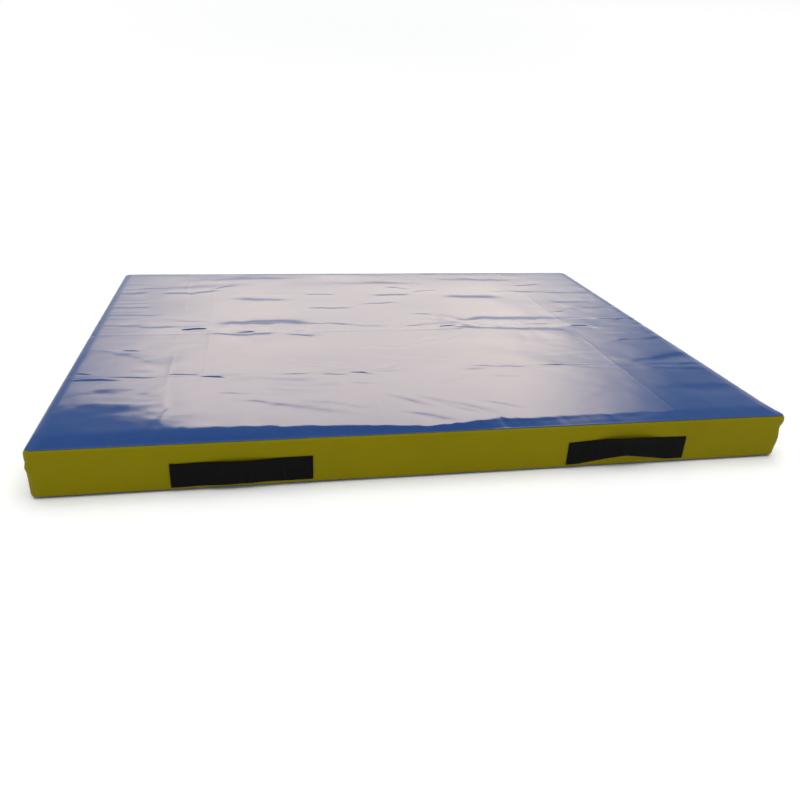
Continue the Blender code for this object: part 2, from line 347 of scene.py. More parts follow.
def cast_metal(name, colour, roughness):
    made = Surface(name)
    wear = made.noise(900.0, 6.0)
    shaded = made.tinted(wear, colour, (0.3, 0.75), (0.65, 1.0))
    gloss = map_range(made.tree, wear, 0.0, 1.0, roughness, roughness + 0.2)
    return made.finish(shaded, gloss, Normal=made.bump(wear, 0.0001, 0.3), Metallic=1.0)


BLUE = (0.009, 0.046, 0.178)
YELLOW = (0.216, 0.177, 0.0003)
BLACK = (0.0018, 0.0019, 0.0018)
MATERIALS = {
    "top": vinyl("top_vinyl", BLUE, 0.055, specular=0.5, grain=0.012, dents=0.04),
    "side": vinyl("side_vinyl", YELLOW, 0.42, specular=0.05, grain=0.12, dents=0.25),
    "base": grip_vinyl("base_vinyl", (0.020, 0.045, 0.150)),
    "webbing": woven("webbing", BLACK),
    "black_thread": thread("black_thread", BLACK),
    "yellow_thread": thread("yellow_thread", (0.36, 0.31, 0.02)),
    "foam": open_foam("foam", (0.78, 0.74, 0.62)),
    "tape": woven("zip_tape", (0.015, 0.015, 0.016)),
    "coil": thread("zip_coil", (0.030, 0.030, 0.033)),
    "metal": cast_metal("zip_metal", (0.62, 0.61, 0.59), 0.25),
}


# ---- the top sheet's creases
# The cover was folded small for packing, which left a grid of creases, with a tuck or dimple where two cross.

RETURN = 3.0  # how many times wider than a kink its slow return to level is


def wavering(u, v, start, end, seed, fade, waves):
    """Distances along a wavering line and to its left, in metres, and its strength, which fades at both ends.

    Each wave gives how far the line strays, the wave's length, the step between seeds, and its own seed.
    """
    x, y = (u - start[0]) * LENGTH, (v - start[1]) * DEPTH
    dx, dy = (end[0] - start[0]) * LENGTH, (end[1] - start[1]) * DEPTH
    reach = math.hypot(dx, dy)
    s, q = (x * dx + y * dy) / reach**2, (y * dx - x * dy) / reach
    for size, span, stride, draw in waves:
        q = q + size * noise(s * reach / span + seed * stride, seed, seed + draw)
    return s * reach, q, smooth(s / fade) * smooth((1 - s) / fade)


def kink(u, v, start, end, tilt, width, seed):
    """A line across which the sheet steps up to the left, then comes back to level slowly on both sides.

    tilt is its steepest slope, in degrees, and width is how far the step reaches on either side.
    """
    waves = [(min(0.5 * width, 0.004), 0.030, 7.3, 0), (0.006, 0.100, 2.9, 90)]
    metres, q, ends = wavering(u, v, start, end, seed, 0.35, waves)
    uneven = 0.35 if width < 0.015 else 0.20
    strength = 1 + uneven * noise(metres / 0.035 + seed * 3.1, 0.5, seed + 50)
    core = 0.62 * width * (1 + 0.45 * noise(metres / 0.060 + seed * 4.3, seed, seed + 70))
    step = (core * np.tanh(q / core) - core * np.tanh(q / (core * RETURN))) / (1 - 1 / RETURN)
    return math.tan(math.radians(tilt)) * ends * strength * step


def ridge(u, v, start, end, tilt, seed):
    """A sharp low ridge along a line, which comes and goes. tilt is the slope of its sides, in degrees."""
    waves = [(0.0032, 0.090, 7.3, 0), (0.0010, 0.022, 5.9, 25)]
    metres, q, ends = wavering(u, v, start, end, seed, 0.05, waves)
    strength = np.clip(0.45 + 1.1 * noise(metres / 0.070 + seed * 3.1, 0.5, seed + 50), 0, 1.2)
    width = 0.004
    return math.tan(math.radians(tilt)) * ends * strength * width * np.exp(-np.sqrt(q**2 + 0.0006**2) / width)


# Each kink's start and end in thousandths of the mat's length and depth, its tilt in degrees and its width in
# millimetres, in groups from the front to the back.
KINKS = [
    # Slanting drags between the front seam and the first crease.
    (190, 185, 320, 165, 2.0, 9), (200, 170, 430, 60, 1.6, 20), (300, 150, 440, 90, 1.4, 14),
    (430, 160, 525, 85, 2.6, 14), (465, 155, 610, 50, 2.2, 15), (450, 80, 540, 35, 2.4, 12),
    (505, 110, 580, 50, 2.3, 7), (520, 170, 600, 235, -2.3, 9), (560, 120, 650, 70, 2.0, 10),
    (610, 225, 690, 215, 2.5, 10), (370, 215, 470, 205, 2.0, 9), (152, 60, 140, 250, 3.2, 12),
    (20, 190, 150, 150, -3.0, 20), (250, 215, 420, 195, -3.4, 18),
    # The crease at a quarter of the depth.
    (-20, 292, 70, 268, 3.1, 7), (-20, 262, 90, 246, 2.7, 7), (130, 278, 200, 268, 4.4, 9),
    (180, 264, 240, 246, 2.8, 9), (210, 246, 385, 230, -4.4, 30), (235, 264, 290, 234, 1.8, 8),
    (350, 250, 425, 250, 3.4, 8), (390, 260, 470, 242, 3.4, 8), (440, 268, 500, 290, -3.1, 7),
    (580, 276, 720, 260, 4.7, 9), (690, 262, 852, 256, 5.6, 10), (830, 258, 1050, 330, 6.3, 26),
    (836, 256, 1030, 246, 4.5, 9), (838, 250, 1030, 205, 3.8, 14), (850, 150, 1030, 120, 2.7, 18),
    # Between it and the middle.
    (0, 430, 150, 310, -5.2, 40), (-20, 425, 130, 392, 2.4, 12), (300, 335, 430, 285, 3.2, 14),
    (440, 345, 590, 305, 3.6, 10), (420, 392, 550, 386, 4.0, 7), (500, 385, 590, 440, -3.1, 8),
    (580, 400, 640, 480, -2.7, 8), (745, 325, 840, 330, 3.4, 12), (860, 388, 1030, 424, 6.3, 12),
    (880, 455, 1030, 438, 4.5, 10),
    # The double crease a little behind the middle: two broad soft bands on each side, and tucks between.
    (-20, 570, 158, 541, -6.5, 12), (95, 606, 200, 570, -3.3, 12), (134, 521, 198, 531, 5.6, 10),
    (180, 568, 385, 558, -5.8, 44), (340, 556, 450, 551, -4.2, 10), (180, 507, 300, 476, -7.6, 36),
    (250, 481, 390, 476, -6.8, 36), (395, 540, 520, 522, -2.9, 10), (500, 514, 612, 545, -3.5, 10),
    (540, 532, 600, 560, -3.0, 7), (545, 620, 608, 600, -3.8, 10), (586, 590, 655, 550, 5.6, 11),
    (582, 516, 650, 521, 7.4, 11), (605, 564, 868, 566, -6.6, 46), (780, 574, 866, 550, -2.9, 16),
    (612, 512, 750, 482, -8.0, 38), (700, 488, 850, 481, -8.0, 38), (838, 519, 908, 492, 7.6, 10),
    (850, 540, 940, 550, -3.3, 10), (885, 562, 1040, 536, 8.3, 13), (895, 488, 1040, 514, -3.7, 11),
    # Gathers at the left end behind it.
    (-20, 600, 100, 612, -4.6, 7), (-20, 660, 80, 655, -4.2, 6), (-20, 722, 100, 728, -2.7, 7),
    (-20, 775, 70, 770, -2.9, 6), (-20, 842, 110, 850, -2.4, 8), (-20, 880, 80, 890, -2.3, 7),
    # Between it and the last crease.
    (-20, 640, 120, 628, -3.8, 12), (-20, 700, 90, 690, -4.6, 14), (-20, 752, 75, 742, -3.5, 12),
    (350, 680, 470, 668, -4.0, 12), (455, 700, 560, 712, -3.0, 11), (840, 598, 908, 646, -4.6, 13),
    (860, 690, 978, 700, -5.5, 15), (940, 700, 1030, 762, -4.0, 12), (900, 635, 1030, 660, -4.3, 14),
    (960, 585, 1030, 600, -5.0, 8), (930, 735, 1030, 722, -3.2, 8), (940, 820, 1030, 838, -2.9, 8),
    # The crease at three quarters of the depth.
    (-20, 800, 70, 815, -4.0, 14), (85, 817, 162, 790, -3.6, 14), (136, 804, 218, 823, -3.3, 12),
    (182, 840, 226, 872, -4.0, 12), (205, 750, 360, 738, -2.8, 30), (360, 794, 440, 780, -4.0, 11),
    (490, 775, 600, 781, -3.5, 13), (535, 852, 605, 820, -4.0, 11), (584, 799, 660, 814, -4.3, 11),
    (636, 757, 795, 748, -3.3, 30), (785, 804, 908, 784, -2.7, 14), (856, 794, 1020, 766, -2.6, 15),
    (825, 848, 900, 878, -4.0, 11),
    # Broad drags across the back.
    (20, 850, 300, 882, -1.4, 34), (60, 915, 380, 950, -1.3, 30), (380, 900, 640, 880, -1.1, 28),
    (620, 930, 900, 905, -1.2, 30),
]

# The packing creases from front to back: place at the front, place at the back and tilt.
LONG_RIDGES = [
    (0.146, 0.136, 4.6), (0.192, 0.190, 4.0), (0.365, 0.368, 2.2),
    (0.430, 0.438, 3.2), (0.600, 0.604, 2.2), (0.848, 0.834, 3.6),
]

# And from the left to the right: place at the left, place at the right and tilt.
CROSS_RIDGES = [(0.268, 0.250, 7.5), (0.535, 0.520, 6.0), (0.556, 0.562, 5.0), (0.798, 0.790, 5.5)]


def creased(u, v):
    """The top's height above its crown level."""
    calm = 1 - 0.8 * bell(u, 0.22) * bell(v, 0.25)  # the left front corner is drawn tight
    h = 0.0010 * calm * noise(u * 4.2 + 3, v * 3.4 + 1, 11)
    h += 0.0005 * calm * noise(u * 9.0 + 5, v * 8.0 + 2, 12)
    # Soft folds that run mostly from left to right, stronger in some places.
    stronger = 0.25 + 0.75 * smooth(0.5 + 1.2 * noise(u * 3 + 1, v * 3 + 6, 13))
    h += 0.00036 * calm * stronger * noise(u * 7 + 3, v * 19 + 3.0 * u + 1.6 * noise(u * 5, v * 4, 14), 15)
    for n, (u0, v0, u1, v1, tilt, width) in enumerate(KINKS):
        h += kink(u, v, (u0 / 1000, v0 / 1000), (u1 / 1000, v1 / 1000), tilt, width / 1000, 20 + n)
    for n, (front, back, tilt) in enumerate(LONG_RIDGES):
        h += ridge(u, v, (front, -0.05), (back, 1.05), tilt, 150 + n)
    for n, (left, right, tilt) in enumerate(CROSS_RIDGES):
        h += ridge(u, v, (-0.05, left), (1.05, right), tilt, 170 + n)
    # Fine gathers at both ends and along the front seam, fading inwards, and crinkles all over in patches.
    ends = bell(u, 0.07) + bell(1 - u, 0.10)
    h += 0.00018 * calm * ends * noise(u * 5 + 2, v * 34 + 0.8 * noise(u * 9, v * 5, 32), 31)
    h += 0.00012 * bell(v, 0.05) * noise(u * 46, v * 4 + 7, 33)
    patches = calm * np.clip(0.4 + noise(u * 5 + 9, v * 4 + 2, 35), 0, 1)
    h += 0.00013 * patches * noise(u * 42 + 1 + 2 * noise(u * 7, v * 7, 36), v * 60, 34)
    return h


# How far back the front slope begins, in metres, at places along the front. The seam gathers it unevenly.
FRONT_SLOPE = {
    0.00: 0.060, 0.20: 0.058, 0.30: 0.050, 0.42: 0.034, 0.49: 0.024,
    0.55: 0.036, 0.59: 0.050, 0.62: 0.038, 0.68: 0.044, 1.00: 0.048,
}


def edge_drop(x, y):
    """How far the top lies below its crown near the seams: a slope to each edge, then a roll into the groove."""
    u = (x - LEFT) / LENGTH
    front_reach = np.interp(u, [*FRONT_SLOPE], [*FRONT_SLOPE.values()])
    front_reach = front_reach * (1 - 0.16 * np.abs(noise(u * 60, 3, 71)))
    back_reach = 0.050 + 0.010 * noise(u * 7, 5, 72)
    total = np.zeros_like(x)
    for distance, reach, drop, roll_reach in [
        (y - FRONT, front_reach, 0.0030, 0.0034),
        (BACK - y, back_reach, 0.0003, 0.0042),
        (x - LEFT, 0.018, 0.0013, 0.0040),
        (RIGHT - x, 0.020, 0.0012, 0.0040),
    ]:
        # A straight slope with a rounded upper end, brought to 1 at the seam.
        t = 1 - distance / reach
        total += drop * 0.5 * (t + np.sqrt(t**2 + 0.05**2)) / 1.0006
        total += (CROWN - EDGE_Z - drop) * np.exp(-((distance / roll_reach) ** 1.15))
    return np.minimum(total, CROWN - EDGE_Z + 0.0004)


def top_height(x, y):
    u, v = (x - LEFT) / LENGTH, (y - FRONT) / DEPTH
    edge = np.minimum.reduce([x - LEFT, RIGHT - x, y - FRONT, BACK - y])
    calm = smooth(edge / 0.030)  # the seam holds the sheet level
    z = CROWN + creased(u, v) * (0.25 + 0.75 * calm) - edge_drop(x, y)
    # The fold's own groove, shallow enough to lose among the creases.
    z -= 0.00025 * bell(y - 0.003 * noise(u * 9, 1, 73), 0.0060)
    start = HIGHEST - SOFT_LIMIT
    return np.where(z > start, start + SOFT_LIMIT * np.tanh((z - start) / SOFT_LIMIT), z)


def round_corner(x, y):
    """Draws the four corners of a rectangle of points in to their radius."""
    cx, cy = RIGHT - CORNER, BACK - CORNER
    sx, sy = np.clip((np.abs(x) - cx) / CORNER, 0, 1), np.clip((np.abs(y) - cy) / CORNER, 0, 1)
    inside = (sx > 0) & (sy > 0)
    nx = np.sign(x) * (cx + CORNER * sx * np.sqrt(1 - sy**2 / 2))
    ny = np.sign(y) * (cy + CORNER * sy * np.sqrt(1 - sx**2 / 2))
    return np.where(inside, nx, x), np.where(inside, ny, y)


def flare(x, y):
    """How far the right front corner of the top seam is stretched out of square."""
    near = bell(np.hypot(x - RIGHT, y - FRONT), 0.040)
    return 0.0065 * near, -0.0015 * near


def turn_under(points, faces, rows, columns):
    """Adds the sheet's rim, which turns down over its edge and in to the bottom of the seam's groove."""
    grid = np.arange(rows * columns).reshape(rows, columns)
    rim = [*grid[0], *grid[1:, -1], *grid[-1, -2::-1], *grid[-2:0:-1, 0]]
    edge = points[rim]
    rings = [points]
    loops = [rim]
    for share_in, share_down in [(0.02, 0.30), (0.20, 0.62), (1.0, 1.0)]:
        ring = edge.copy()
        ring[:, 0] *= 1 - (SEAM_IN - RIM_IN) * share_in / RIGHT
        ring[:, 1] *= 1 - (SEAM_IN - RIM_IN) * share_in / BACK
        ring[:, 2] += (SEAM_Z - edge[:, 2]) * share_down
        loops.append([sum(len(r) for r in rings) + i for i in range(len(rim))])
        rings.append(ring)
    for upper, lower in zip(loops, loops[1:], strict=False):
        for i in range(len(rim)):
            j = (i + 1) % len(rim)
            faces.append((upper[j], upper[i], lower[i], lower[j]))
    return np.concatenate(rings), faces


def make_top():
    folds = [LEFT + LENGTH * (front + back) / 2 for front, back, tilt in LONG_RIDGES]
    xs = spaced(LEFT, RIGHT, 0.0045, (LEFT, RIGHT, *folds), fine_step=0.0020, fine_reach=0.007)
    crosses = [FRONT + DEPTH * (left + right) / 2 for left, right, tilt in CROSS_RIDGES]
    ys = spaced(FRONT, BACK, 0.0040, (FRONT, 0.0, BACK), fine_step=0.0014, fine_reach=0.008)
    near = np.abs(ys[:-1, None] - np.array(crosses)[None, :]).min(axis=1) < 0.017
    ys = np.sort(np.concatenate([ys, (ys[:-1] + ys[1:])[near] / 2]))
    x, y = np.meshgrid(xs, ys)
    z = top_height(x, y)
    px, py = round_corner(x, y)
    # The sheet nips in where it crosses the fold.
    px = px * (1 - 0.0022 * bell(y, 0.012) * smooth((np.abs(x) - RIGHT + 0.03) / 0.03))
    dx, dy = flare(px, py)
    px, py = px * (1 - RIM_IN / RIGHT) + dx, py * (1 - RIM_IN / BACK) + dy
    points = np.stack([px, py, z], -1).reshape(-1, 3)
    points, faces = turn_under(points, grid_faces(len(ys), len(xs)), len(ys), len(xs))
    obj = mesh_object("top_cover", points, faces, MATERIALS["top"])
    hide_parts("front_top_sheet", "rear_top_sheet", "fold_strip")
    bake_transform(obj)


# ---- sections
# The rear section is built as the front one turned half a turn about Z.


class Section:
    def __init__(self, half):
        self.half = half
        self.sign = 1 if half == "front" else -1
        self.body = f"{half}_section"
        self.seed = 100 if half == "front" else 200

    def turned(self, points):
        """Points given for the front section, placed for this one."""
        points = np.array(points, float)
        points[..., :2] *= self.sign
        return points

    def name(self, word):
        return f"{self.half}_{word}"

    def piece(self, name, points, faces, material):
        return mesh_object(name, self.turned(points), faces, MATERIALS[material])

    def side_word(self, way):
        return "left" if way * self.sign < 0 else "right"

    def ride(self, obj, slot, *nodes, body="section"):
        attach(obj, self.name(body))
        if nodes:
            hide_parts(*nodes)

    def cover_sheet(self, word, points, faces, material, stands_for, flat):
        """One of the cover's sheets, stretched over the foam."""
        obj = self.piece(self.name(word), points, flipped(faces), material)
        self.ride(obj, f"{material}_vinyl", self.name(stands_for))


def band_path(step=0.007):
    """Points, outward directions and lengths round the section, from its left fold corner to its right."""
    points, outs = [], []
    for side, across, y, radius, turned in [
        (LEFT, 1, -WALL - FOLD_CORNER, FOLD_CORNER, 90),
        (LEFT, 1, FRONT + CORNER, CORNER, 180),
        (RIGHT, -1, FRONT + CORNER, CORNER, 270),
        (RIGHT, -1, -WALL - FOLD_CORNER, FOLD_CORNER, 0),
    ]:
        arc = [math.radians(turned + 15 * i) for i in range(7)]
        corner = [(side + radius * (across + math.cos(a)), y + radius * math.sin(a)) for a in arc]
        if points:
            start, out = points[-1], outs[-1]
            count = max(2, int(math.dist(start, corner[0]) / step))
            for i in range(1, count):
                points.append(tuple(p + (q - p) * i / count for p, q in zip(start, corner[0], strict=True)))
                outs.append(out)
        points += corner
        outs += [(math.cos(a), math.sin(a)) for a in arc]
    points, outs = np.array(points), np.array(outs)
    gaps = np.hypot(*np.diff(points, axis=0).T)
    return points, outs, np.concatenate([[0], np.cumsum(gaps)])


PATH_POINTS, PATH_OUTS, PATH_LENGTHS = band_path()
PATH_FRONT = float(PATH_LENGTHS[np.argmin(np.hypot(PATH_POINTS[:, 0], PATH_POINTS[:, 1] - FRONT))])
LEFT_END = PATH_OUTS[:, 0] < -0.99  # the part of the path that holds the zip

# Where the packing creases go on down the band, from its middle, and how deep they are.
BAND_CREASES = [(-0.510, 0.0013), (-0.180, 0.0006), (0.160, 0.0007), (0.520, 0.0012)]


def band_out(s, z, seed):
    """How far the band stands out of its nominal face, at a length along it and a height."""
    height = np.clip((z - FOOT_Z) / (SEAM_Z - FOOT_Z), 0, 1)
    full = np.sin(np.pi * height) ** 0.8
    swell = 0.0016 + 0.0009 * noise(s * 6.5, z * 9 + 2, seed)
    dents = 0.0006 * noise(s * 17, z * 24, seed + 1) + 0.0003 * noise(s * 45, z * 60, seed + 2)
    x = s - PATH_FRONT
    folds = 0.0
    for place, depth in BAND_CREASES:
        line = x - place - 0.010 * (1 - height)
        folds = folds - depth * np.exp(-np.abs(line) / 0.004) + 0.5 * depth * bell(line - 0.012, 0.008)
    # The corners are slack below the top seam.
    for place in (-LENGTH / 2, LENGTH / 2):
        near = bell(x - place, 0.030)
        folds = folds + near * (0.0026 * bell(height - 0.45, 0.22) - 0.0022 * bell(height - 0.74, 0.07))
    # The sewing round the zip holds it flat.
    by_zip = smooth((0.62 - s) / 0.02) * smooth((0.034 - np.abs(z - ZIP_Z)) / 0.014)
    return full * (swell + dents + folds) * (1 - 0.92 * by_zip)


def face_out(x, z, seed):
    """How far the band's long face stands out at a place along it."""
    return band_out(PATH_FRONT + x, z, seed)


def band_row(z, seed):
    """The band all along its path at one height, drawn in where it rolls into the two seams."""
    out = band_out(PATH_LENGTHS, z, seed)
    top = np.clip((SEAM_Z - z) / 0.0065, 0, 1)
    foot = np.clip((z - FOOT_Z) / 0.0060, 0, 1)
    out = out - SEAM_IN * (1 - np.sqrt(1 - (1 - top) ** 2)) - FOOT_IN * (1 - np.sqrt(1 - (1 - foot) ** 2))
    return PATH_POINTS + PATH_OUTS * out[:, None]


def band_heights():
    """Heights of the band's rows: closer together at both seams, and one at each edge of the zip's opening."""
    slot = [ZIP_Z - ZIP_HALF_SLOT, ZIP_Z + ZIP_HALF_SLOT]
    low = [FOOT_Z + rise for rise in (0.0, 0.0008, 0.002, 0.004, 0.007)]
    high = [SEAM_Z - drop for drop in (0.007, 0.004, 0.0022, 0.001, 0.0003, 0.0)]
    middle = [z for z in np.linspace(low[-1], high[0], 15)[1:-1] if all(abs(z - e) > 0.0025 for e in slot)]
    return np.array(sorted([*low, *middle, *high, *slot]))


def make_band(section):
    """The yellow band, open along the zip."""
    rows = band_heights()
    slot_row = int(np.argmin(np.abs(rows - (ZIP_Z - ZIP_HALF_SLOT))))
    in_zip = LEFT_END & (PATH_POINTS[:, 1] > ZIP_START) & (PATH_POINTS[:, 1] < ZIP_END)
    wave = 0.0007 * noise(PATH_LENGTHS * 8, 1, section.seed + 9)
    points = []
    for r, z in enumerate(rows):
        lift = wave * smooth((0.02 - z) / 0.02) + 0.5 * wave * smooth((z - 0.08) / 0.02)
        xy = band_row(z, section.seed)
        if r in (slot_row, slot_row + 1):
            xy = xy - PATH_OUTS * (0.0006 * in_zip)[:, None]
        if section.sign > 0:
            xy = xy + np.column_stack(flare(*PATH_POINTS.T)) * smooth((z - 0.060) / 0.025)
        points.append(np.column_stack([xy, z + np.maximum(lift, -0.002)]))

    def keep(i, j):
        return not (i == slot_row and in_zip[j] and in_zip[j + 1])

    faces = grid_faces(len(rows), len(PATH_POINTS), keep)
    section.cover_sheet("band", points, faces, "side", "side_band", (TOP, float(PATH_LENGTHS[-1])))


def make_fold_wall(section):
    xs = spaced(LEFT + 0.003, RIGHT - 0.003, 0.012, (LEFT, RIGHT))
    zs = spaced(0.0012, SEAM_Z + 0.0012, 0.006, (0.0, TOP), 0.001, 0.004)
    x, z = np.meshgrid(xs, zs)
    inward = 0.0006 + 0.0005 * noise(x * 8, z * 20, section.seed + 20)
    ends = smooth((np.abs(x) - RIGHT + 0.012) / 0.010)
    rim = bell(z - zs[0], 0.0025) + bell(z - zs[-1], 0.0025)
    y = -WALL - 0.0001 - inward * (1 - rim) - 0.0020 * ends * ends - 0.0012 * rim
    faces = grid_faces(len(zs), len(xs))
    section.cover_sheet("fold_face", np.stack([x, y, z], -1), faces, "side", "fold_wall", (LENGTH, TOP))


def make_base(section):
    xs = spaced(LEFT, RIGHT, 0.014, (LEFT, RIGHT))
    ys = spaced(FRONT, -WALL, 0.014, (FRONT, -WALL))
    x, y = np.meshgrid(xs, ys)
    edge = np.minimum.reduce([x - LEFT, RIGHT - x, y - FRONT, -WALL - y])
    z = 0.0001 + 0.0001 * (1 + noise(x * 14, y * 14, section.seed + 30))
    z = z + (FOOT_Z - 0.0002) * np.exp(-((edge / 0.0045) ** 1.3))
    cx, cy = round_corner(x, y)
    middle, half = (FRONT - WALL) / 2, (-WALL - FRONT) / 2
    cx = cx * ((RIGHT - FOOT_IN) / RIGHT)
    cy = middle + (cy - middle) * (half - FOOT_IN * 0.8) / half
    faces = grid_faces(len(ys), len(xs))
    section.cover_sheet("base", np.stack([cx, cy, z], -1), faces, "base", "base_sheet", (LENGTH, DEPTH / 2))


def make_foam_block(section):
    """The foam, seen only with the cover off. It is rounded where the cover's seams draw it in."""
    low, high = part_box(section.name("foam_core"))
    bm = bmesh.new()
    bmesh.ops.create_cube(bm, size=1.0)
    for vertex in bm.verts:
        for axis in range(3):
            size = high[axis] - low[axis] - 0.008
            vertex.co[axis] = (high[axis] + low[axis]) / 2 + vertex.co[axis] * size
    bmesh.ops.bevel(bm, geom=bm.edges[:], offset=0.014, segments=5, affect="EDGES", profile=0.5)
    mesh = bpy.data.meshes.new(section.name("foam"))
    bm.to_mesh(mesh)
    bm.free()
    obj = smooth_object(section.name("foam"), mesh, MATERIALS["foam"])
    section.ride(obj, "foam", section.name("foam_core"))


# ---- stitches


def tube_faces(rings, sides, closed=False, base=0):
    """Faces over rings of points, with a cap at each end unless the tube closes on itself."""
    faces = []
    for i in range(rings if closed else rings - 1):
        for k in range(sides):
            a, b = i * sides + k, i * sides + (k + 1) % sides
            c, d = (a + sides) % (rings * sides), (b + sides) % (rings * sides)
            faces.append((a, b, d, c))
    if not closed:
        faces.append(tuple(range(sides))[::-1])
        faces.append(tuple(range((rings - 1) * sides, rings * sides)))
    return [tuple(base + i for i in f) for f in faces]


def make_stitches(section, name, lines, place, material, slot, length=0.0030):
    """Stitches along lines in a plane. place turns a point of the plane, and a height off it, into space."""
    gap, radius, rings, sides = 0.0012, 0.00032, 5, 6
    half = 0.5 * length / (length + gap)
    points, faces = [], []
    for start, end in lines:
        reach = math.dist(start, end)
        across = ((end[1] - start[1]) / reach, -(end[0] - start[0]) / reach)
        count = max(1, int(reach / (length + gap)))
        for n in range(count):
            a, b = (n + 0.5 - half) / count, (n + 0.5 + half) / count
            faces += tube_faces(rings, sides, base=len(points))
            for k in range(rings):
                t = a + (b - a) * k / (rings - 1)
                px, pz = start[0] + (end[0] - start[0]) * t, start[1] + (end[1] - start[1]) * t
                rise = math.sin(math.pi * k / (rings - 1))
                size = radius * (0.45 + 0.55 * rise)
                for m in range(sides):
                    w = 2 * math.pi * m / sides
                    off, up = size * math.cos(w), size * math.sin(w) + radius * (rise - 0.35)
                    points.append(place(px + across[0] * off, pz + across[1] * off, up))
    obj = section.piece(name, points, faces, material)
    section.ride(obj, slot)


# ---- handles

HANDLE_LENGTH = 0.260
TAB_LENGTH = 0.050
FREE_HALF = HANDLE_LENGTH / 2 - TAB_LENGTH
WEBBING_THICK = 0.0020


class Style(NamedTuple):
    """How a strap hangs, in metres unless it is a share. Places are from -1 to 1 along its free span."""

    stand: float  # how far its middle stands off
    lean: float  # how much further it does so at its right end, as a share
    cup: float  # how far both of its long edges curl out
    twist: float  # how far its upper edge tips out at its right end
    kink: float  # a buckle across it
    kink_at: float
    lift: float  # rise of its lower edge, at the peak
    tilt: float  # its slope
    hump: float = 0.0  # rise of its upper edge, at the peak
    rise: float = 0.0  # rise of the whole free span
    narrow: float = 0.0  # how much its width shrinks, as a share


# The front two as they hang in use: one bows out and twists, the other has slid up and cupped.
BOWED = Style(0.0052, -0.55, -0.0010, 0.0020, 0.0010, 0.15, lift=0.0016, tilt=0.010, hump=0.0006, narrow=0.02)
CUPPED = Style(0.0042, -0.20, 0.0035, -0.0010, 0.0016, -0.12, lift=0.015, tilt=0.004, hump=0.0056, rise=0.0034)
SLACK = Style(0.0090, 0.15, 0.0008, 0.0012, 0.0006, 0.3, lift=0.0010, tilt=-0.006, narrow=0.04)


def peak(t, at, before, after):
    """1 at one place, falling straight to 0 on both sides."""
    reach = np.where(t < at, before, after)
    return np.clip(1 - (np.hypot(t - at, 0.06) - 0.06) / reach, 0, 1)


class Handle:
    """A strap on the band's long face, in the front section's frame. side is -1 or 1 along X."""

    def __init__(self, section, side, style):
        self.section = section
        self.style = style
        self.grip = f"{section.half}_{section.side_word(side)}_grip"
        self.node = f"{section.half}_{section.side_word(side)}_handle"
        low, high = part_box(f"{self.node}_grip")
        self.x = section.sign * (low.x + high.x) / 2
        self.z = (low.z + high.z) / 2
        self.width = high.z - low.z

    def place(self, px, pz, off):
        """The strap's outer face at a place along and across it, off being how far above that face."""
        style = self.style
        along = px / FREE_HALF
        across = np.clip(pz / (self.width / 2), -1.2, 1.2)
        t = np.clip(along, -1, 1)
        free = smooth((1 - np.abs(t)) / 0.85)
        stand = style.stand * free * (1 + style.lean * t)
        stand = stand + free * style.cup * (across**2) + free * style.twist * across * t
        stand = stand + style.kink * bell(t - style.kink_at, 0.14) * (0.6 - 0.4 * across)
        lift = style.lift * peak(along, -0.10, 1.2, 1.2) * (1 - across) / 2
        lift = lift + style.hump * peak(along, -0.54, 1.08, 2.16) * (1 + across) / 2
        lift = lift + style.rise * free
        x = self.x + px
        z = self.z + pz * (1 - style.narrow * free) + lift + style.tilt * px
        out = 0.0003 + WEBBING_THICK + stand + face_out(x, z, self.section.seed) + off
        return np.stack(np.broadcast_arrays(x, FRONT - out, z), -1)


def make_strap_half(handle, end):
    """The strap from its middle to one end: the free half bowed as its style gives, and the tab that is sewn on.
    """
    section = handle.section
    free = np.linspace(0, FREE_HALF, 34)[:-1]
    tab = np.linspace(FREE_HALF, HANDLE_LENGTH / 2, 12)
    along = np.concatenate([free, tab]) * end
    p, q = np.meshgrid(along, np.linspace(-handle.width / 2, handle.width / 2, 17), indexing="ij")
    edge = 0.0006 * (np.abs(q) / (handle.width / 2)) ** 12
    outer, inner = handle.place(p, q, -edge), handle.place(p, q, edge - WEBBING_THICK)
    points, faces = thick_sheet(outer, inner, open_start=True)
    if end > 0:
        faces = flipped(faces)
    word = section.side_word(end)
    obj = section.piece(f"{handle.node}_strap_{word}", points, faces, "webbing")
    add_cloth_uv(obj, p, q)
    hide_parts(f"{handle.node}_{word}_tab", f"{handle.node}_grip")
    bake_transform(obj)

    # Box stitching: a rectangle and its two diagonals.
    w = handle.width / 2 - 0.004
    a, b = end * (FREE_HALF + 0.003), end * (HANDLE_LENGTH / 2 - 0.004)
    lines = [*loop_lines(rectangle(a, b, -w, w)), ((a, -w), (b, w)), ((a, w), (b, -w))]
    name = f"{handle.node}_stitching_{word}"
    make_stitches(section, name, lines, handle.place, "black_thread", "webbing")


def make_patch(handle):
    """The backing inside the cover."""
    section = handle.section
    low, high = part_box(f"{handle.node}_backing")
    half = (high.x - low.x) / 2 - 0.004
    xs = handle.x + np.linspace(-half, half, 30)
    zs = np.linspace(low.z + 0.010, high.z - 0.003, 9)
    x, z = np.meshgrid(xs, zs)
    y = FRONT + 0.0016 - face_out(x, z, section.seed)
    points = [np.stack([x, y, z], -1), np.stack([x, y + 0.0008, z], -1)]
    front = flipped(grid_faces(len(zs), len(xs)))
    back = [tuple(x.size + i for i in f[::-1]) for f in front]
    obj = section.piece(f"{handle.node}_patch", points, front + back, "side")
    section.ride(obj, "side_vinyl", f"{handle.node}_backing")


def make_handle(section, side, style):
    handle = Handle(section, side, style)
    make_strap_half(handle, -1)
    make_strap_half(handle, 1)
    make_patch(handle)


# ---- zips
# A zip's pieces are placed from the middle of its parked slider: how far out of the mat's end, how far along the
# closed chain, and up.

